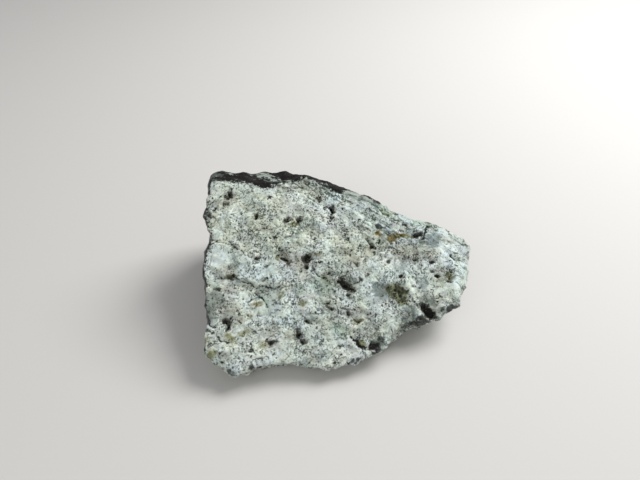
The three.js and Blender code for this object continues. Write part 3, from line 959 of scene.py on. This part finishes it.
def dark_grains(w):
    """Masks of the grey, fine and black grains, thickest on brown areas and between crumbs, where they
    are painted shade in the creases.
    """
    clusters = w.rise(w.noise(4.2, 4.0, 0.7), 0.44, 0.60)
    # Painted shade: the grains thicken in the creases between the crumbs.
    creases = w.rise(w.value("crumb"), 0.45, 0.0)
    cover = w.total((clusters, 0.66), (creases, 0.22),
                    *((w.value(name), more) for name, more in GRAIN_COVER.items()))
    masks = {
        name: w.specks(spacing, w.maths("MULTIPLY_ADD", cover, share, more), largest)
        for name, (spacing, share, more, largest) in GRAINS.items()
    }
    return masks["grey"], masks["fine"], w.maths("MAXIMUM", masks["small"], masks["large"])


def hairline_cracks(w):
    """A mask of thin broken cracks."""
    place = w.vector("DIVIDE", jagged(w, w.place, 1.6, 1.8), (HAIR_SPACING,) * 3)
    hair = w.rise(w.cells(place, "DISTANCE_TO_EDGE")["Distance"], 0.040, 0.012)
    return w.times(hair, w.rise(w.noise(3.0, 3.0, 0.6), 0.51, 0.58))


def pitted(w, colour):
    """The colour with the pits and cracks: black hearts of painted shade deep in the hollows, and broken
    brown rims around the pits.
    """
    heart = w.patch(w.maths("SUBTRACT", w.value("pit"), 0.20), 0.8, 1.0, 0.10)
    heart = w.times(heart, w.rise(w.value("olive"), 0.5, 0.9, 1.0, 0.3))
    heart = w.times(heart, w.rise(w.noise(0.9, 4.0, 0.8), 0.40, 0.54, 0.35, 1.0))
    rim = w.patch(w.maths("ADD", w.value("pit"), 0.10), 0.7, 1.3, 0.15)
    rim = w.times(rim, w.rise(w.value("olive"), 0.4, 0.8, 0.8, 0.3))
    crack = w.patch(w.value("crack"), 0.6, 0.5, 0.10)
    colour = w.mix(rim, colour, PIT_RIM)
    return w.mix(w.times(w.maths("MAXIMUM", heart, crack), 0.95), colour, HOLLOW_SHADE)


def opal_colour(w, black, settings):
    """Black opal under its weathering film, in streaks and thick in places, and the film's mask."""
    back_streaks = w.times(strokes(w, 0.75, -5, 6.0), w.maths("SUBTRACT", 1.0, w.value("left")))
    side_streaks = w.times(strokes(w, 0.9, 82, 6.0), w.value("left"))
    streaks = w.maths("ADD", back_streaks, side_streaks)
    patches = w.swing(6.0, 5.0, 0.7)
    clots = w.swing(1.4, 4.0, 0.8)
    filmed = w.patch(w.value("film"), 1.3, 1.4, 0.2)
    bare = w.patch(w.value("bare"), 1.5, 1.2, 0.2)
    film = w.rise(w.total((streaks, 0.6), (patches, 1.2), (filmed, 0.5), (bare, -0.6)), 0.05, 0.16)
    thick = w.total((streaks, 1.2), (filmed, 0.8), (clots, 1.4), (w.value("left"), 0.3))
    striae = w.rise(strokes(w, 0.5, -35, 7.0), 0.0, 0.22)
    film_tone = w.mix(w.rise(thick, 0.45, 1.0), settings.opal_film, settings.film_light)
    film_tone = w.mix(w.times(striae, 0.55), film_tone, settings.opal_film)
    glass = w.mix(w.times(striae, 0.14), settings.opal, settings.opal_film)
    glass = w.mix(w.times(film, 0.9), glass, film_tone)
    glass = w.mix(w.times(black, 0.6), glass, settings.speck)
    return w.mix(w.times(w.specks(*OPAL_SPARKS), 0.5), glass, settings.opal_film), film


def stone_material(settings):
    """The stone's finish: crust, host rock, specks, stains, and glassy opal with its film."""
    material = bpy.data.materials.new("opal_and_host_rock")
    material.use_nodes = True
    material.node_tree.nodes.clear()
    w = StoneWiring(material.node_tree)
    grey, fine, black = dark_grains(w)
    colour = stained(w, crust_colour(w, settings))
    for mask, most, tone in (
        (grey, 0.5, settings.shade), (fine, 0.92, settings.speck), (black, 0.96, settings.speck),
        (hairline_cracks(w), 0.7, settings.speck),
    ):
        colour = w.mix(w.times(mask, most), colour, tone)
    colour = pitted(w, colour)
    glass, film = opal_colour(w, black, settings)
    opal = w.patch(w.value("opal"), 1.0, 1.0, 0.14)
    # The smoke marks turn the colour to dark glass; along the base that is painted shadow.
    smoke_and_painted_shadow = w.patch(w.value("smoke_and_painted_shadow"), 1.1, 1.3, 0.28)
    dark = w.maths("MAXIMUM", opal, w.times(smoke_and_painted_shadow, 0.9))

    # Bare opal is glossy, less so where it faces up.
    gloss = w.times(dark, w.maths("SUBTRACT", 1.0, film))
    gloss = w.times(gloss, w.rise(w.value("satin"), 0.0, 1.0, 1.0, 0.1))
    grit = w.total((w.noise(0.6, 4.0, 0.75), 1.0), (black, -0.3))
    bump = w.node("ShaderNodeBump")
    w.feed_named(bump, {
        "Strength": 1.0, "Distance": GRIT_HEIGHT * MM,
        "Height": w.times(grit, w.rise(gloss, 0.0, 1.0, 1.0, 0.15)),
    })
    surface = w.node("ShaderNodeBsdfPrincipled")
    w.feed_named(surface, {
        "Base Color": w.mix(dark, colour, glass),
        "Roughness": w.rise(gloss, 0.0, 1.0, ROCK_ROUGHNESS, GLASS_ROUGHNESS),
        "Coat Weight": w.times(gloss, 0.7), "Coat Roughness": 0.2,
        "IOR": 1.45, "Specular IOR Level": 0.12, "Normal": bump.outputs["Normal"],
    })
    w.feed(w.node("ShaderNodeOutputMaterial").inputs["Surface"], surface.outputs["BSDF"])
    return material


class OPAL_OT_make_stone(bpy.types.Operator):
    """Makes the stone: a fine modelled skin over the solid, with its finish"""

    bl_idname = "opal.make_stone"
    bl_label = "Make Stone"

    def execute(self, context):
        settings = context.scene.opal_stone
        stone = fine_skin(settings)
        skin = Skin(stone.data)
        dress_skin(skin, settings)
        skin.write()
        stone.data.materials.append(stone_material(settings))
        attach(stone, "root")
        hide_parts(SOLID)
        return {"FINISHED"}


# The stage: camera and lights by place and the way they look, in metres.
CAMERA_PLACE = (-0.0057, -0.1233, 0.1385)
CAMERA_PITCH = 42
CAMERA_LENS = 31.16  # millimetres on the 36 mm sensor
FLOOR_HALF = 8
FLOOR_ROUGHNESS = 0.85
SKY_COLOUR = (0.97, 0.98, 1.0, 1)
LIGHT_TARGET = (0, 0, 0.015)
LIGHTS = {
    "key_light": {"place": (0.30, 0.22, 0.40), "size": 0.30},
    "fill_light": {"place": (-0.25, -0.50, 0.28), "size": 0.60},
}


def make_camera():
    """The camera, where the stone was seen from."""
    camera = new_object("camera", bpy.data.cameras.new("camera"))
    camera.data.lens = CAMERA_LENS
    camera.data.clip_start = 0.01
    camera.location = CAMERA_PLACE
    camera.rotation_euler = (math.radians(90 - CAMERA_PITCH), 0, 0)
    bpy.context.scene.camera = camera


def make_light(name, power):
    """A square soft light that shines on the stone."""
    lamp = bpy.data.lights.new(name, "AREA")
    lamp.energy = power
    lamp.size = LIGHTS[name]["size"]
    light = new_object(name, lamp)
    light.location = LIGHTS[name]["place"]
    away = Vector(LIGHT_TARGET) - light.location
    light.rotation_euler = away.to_track_quat("-Z", "Y").to_euler()


def make_floor(settings):
    """A wide plain floor under the stone."""
    mesh = bpy.data.meshes.new("floor")
    corners = [(x * FLOOR_HALF, y * FLOOR_HALF, 0) for x, y in ((-1, -1), (1, -1), (1, 1), (-1, 1))]
    mesh.from_pydata(corners, [], [(0, 1, 2, 3)])
    floor = new_object("floor", mesh)
    material = bpy.data.materials.new("plain_floor")
    material.use_nodes = True
    surface = material.node_tree.nodes["Principled BSDF"]
    surface.inputs["Base Color"].default_value = (*settings.floor, 1)
    surface.inputs["Roughness"].default_value = FLOOR_ROUGHNESS
    mesh.materials.append(material)


def make_sky(settings):
    """Even pale light from all sides."""
    sky = bpy.data.worlds.new("sky")
    sky.use_nodes = True
    light = sky.node_tree.nodes["Background"]
    light.inputs["Color"].default_value = SKY_COLOUR
    light.inputs["Strength"].default_value = settings.sky
    bpy.context.scene.world = sky


class OPAL_OT_make_stage(bpy.types.Operator):
    """Makes the camera, the plain floor and the soft studio light"""

    bl_idname = "opal.make_stage"
    bl_label = "Make Stage"

    def execute(self, context):
        settings = context.scene.opal_stage
        make_camera()
        make_floor(settings)
        make_sky(settings)
        make_light("key_light", settings.key_power)
        make_light("fill_light", settings.fill_power)
        context.scene.view_settings.view_transform = "Standard"
        return {"FINISHED"}


class OPAL_PT_maker(bpy.types.Panel):
    """Lists the stone's and the stage's operators and settings"""

    bl_label = "Rough Opal"
    bl_idname = "OPAL_PT_maker"
    bl_space_type = "VIEW_3D"
    bl_region_type = "UI"
    bl_category = "Rough Opal"

    def draw(self, context):
        for operator, settings in (
            (OPAL_OT_make_stone, context.scene.opal_stone),
            (OPAL_OT_make_stage, context.scene.opal_stage),
        ):
            box = self.layout.box()
            for name in settings.bl_rna.properties.keys():
                if name not in ("rna_type", "name"):
                    box.prop(settings, name)
            box.operator(operator.bl_idname)


CLASSES = (StoneSettings, StageSettings, OPAL_OT_make_stone, OPAL_OT_make_stage, OPAL_PT_maker)


def register():
    for each in CLASSES:
        bpy.utils.register_class(each)
    bpy.types.Scene.opal_stone = bpy.props.PointerProperty(type=StoneSettings)
    bpy.types.Scene.opal_stage = bpy.props.PointerProperty(type=StageSettings)


def unregister():
    del bpy.types.Scene.opal_stage
    del bpy.types.Scene.opal_stone
    for each in reversed(CLASSES):
        bpy.utils.unregister_class(each)


def main():
    """Makes the stone and the stage."""
    register()
    bpy.ops.opal.make_stone()
    bpy.ops.opal.make_stage()


if __name__ == "__main__":
    main()
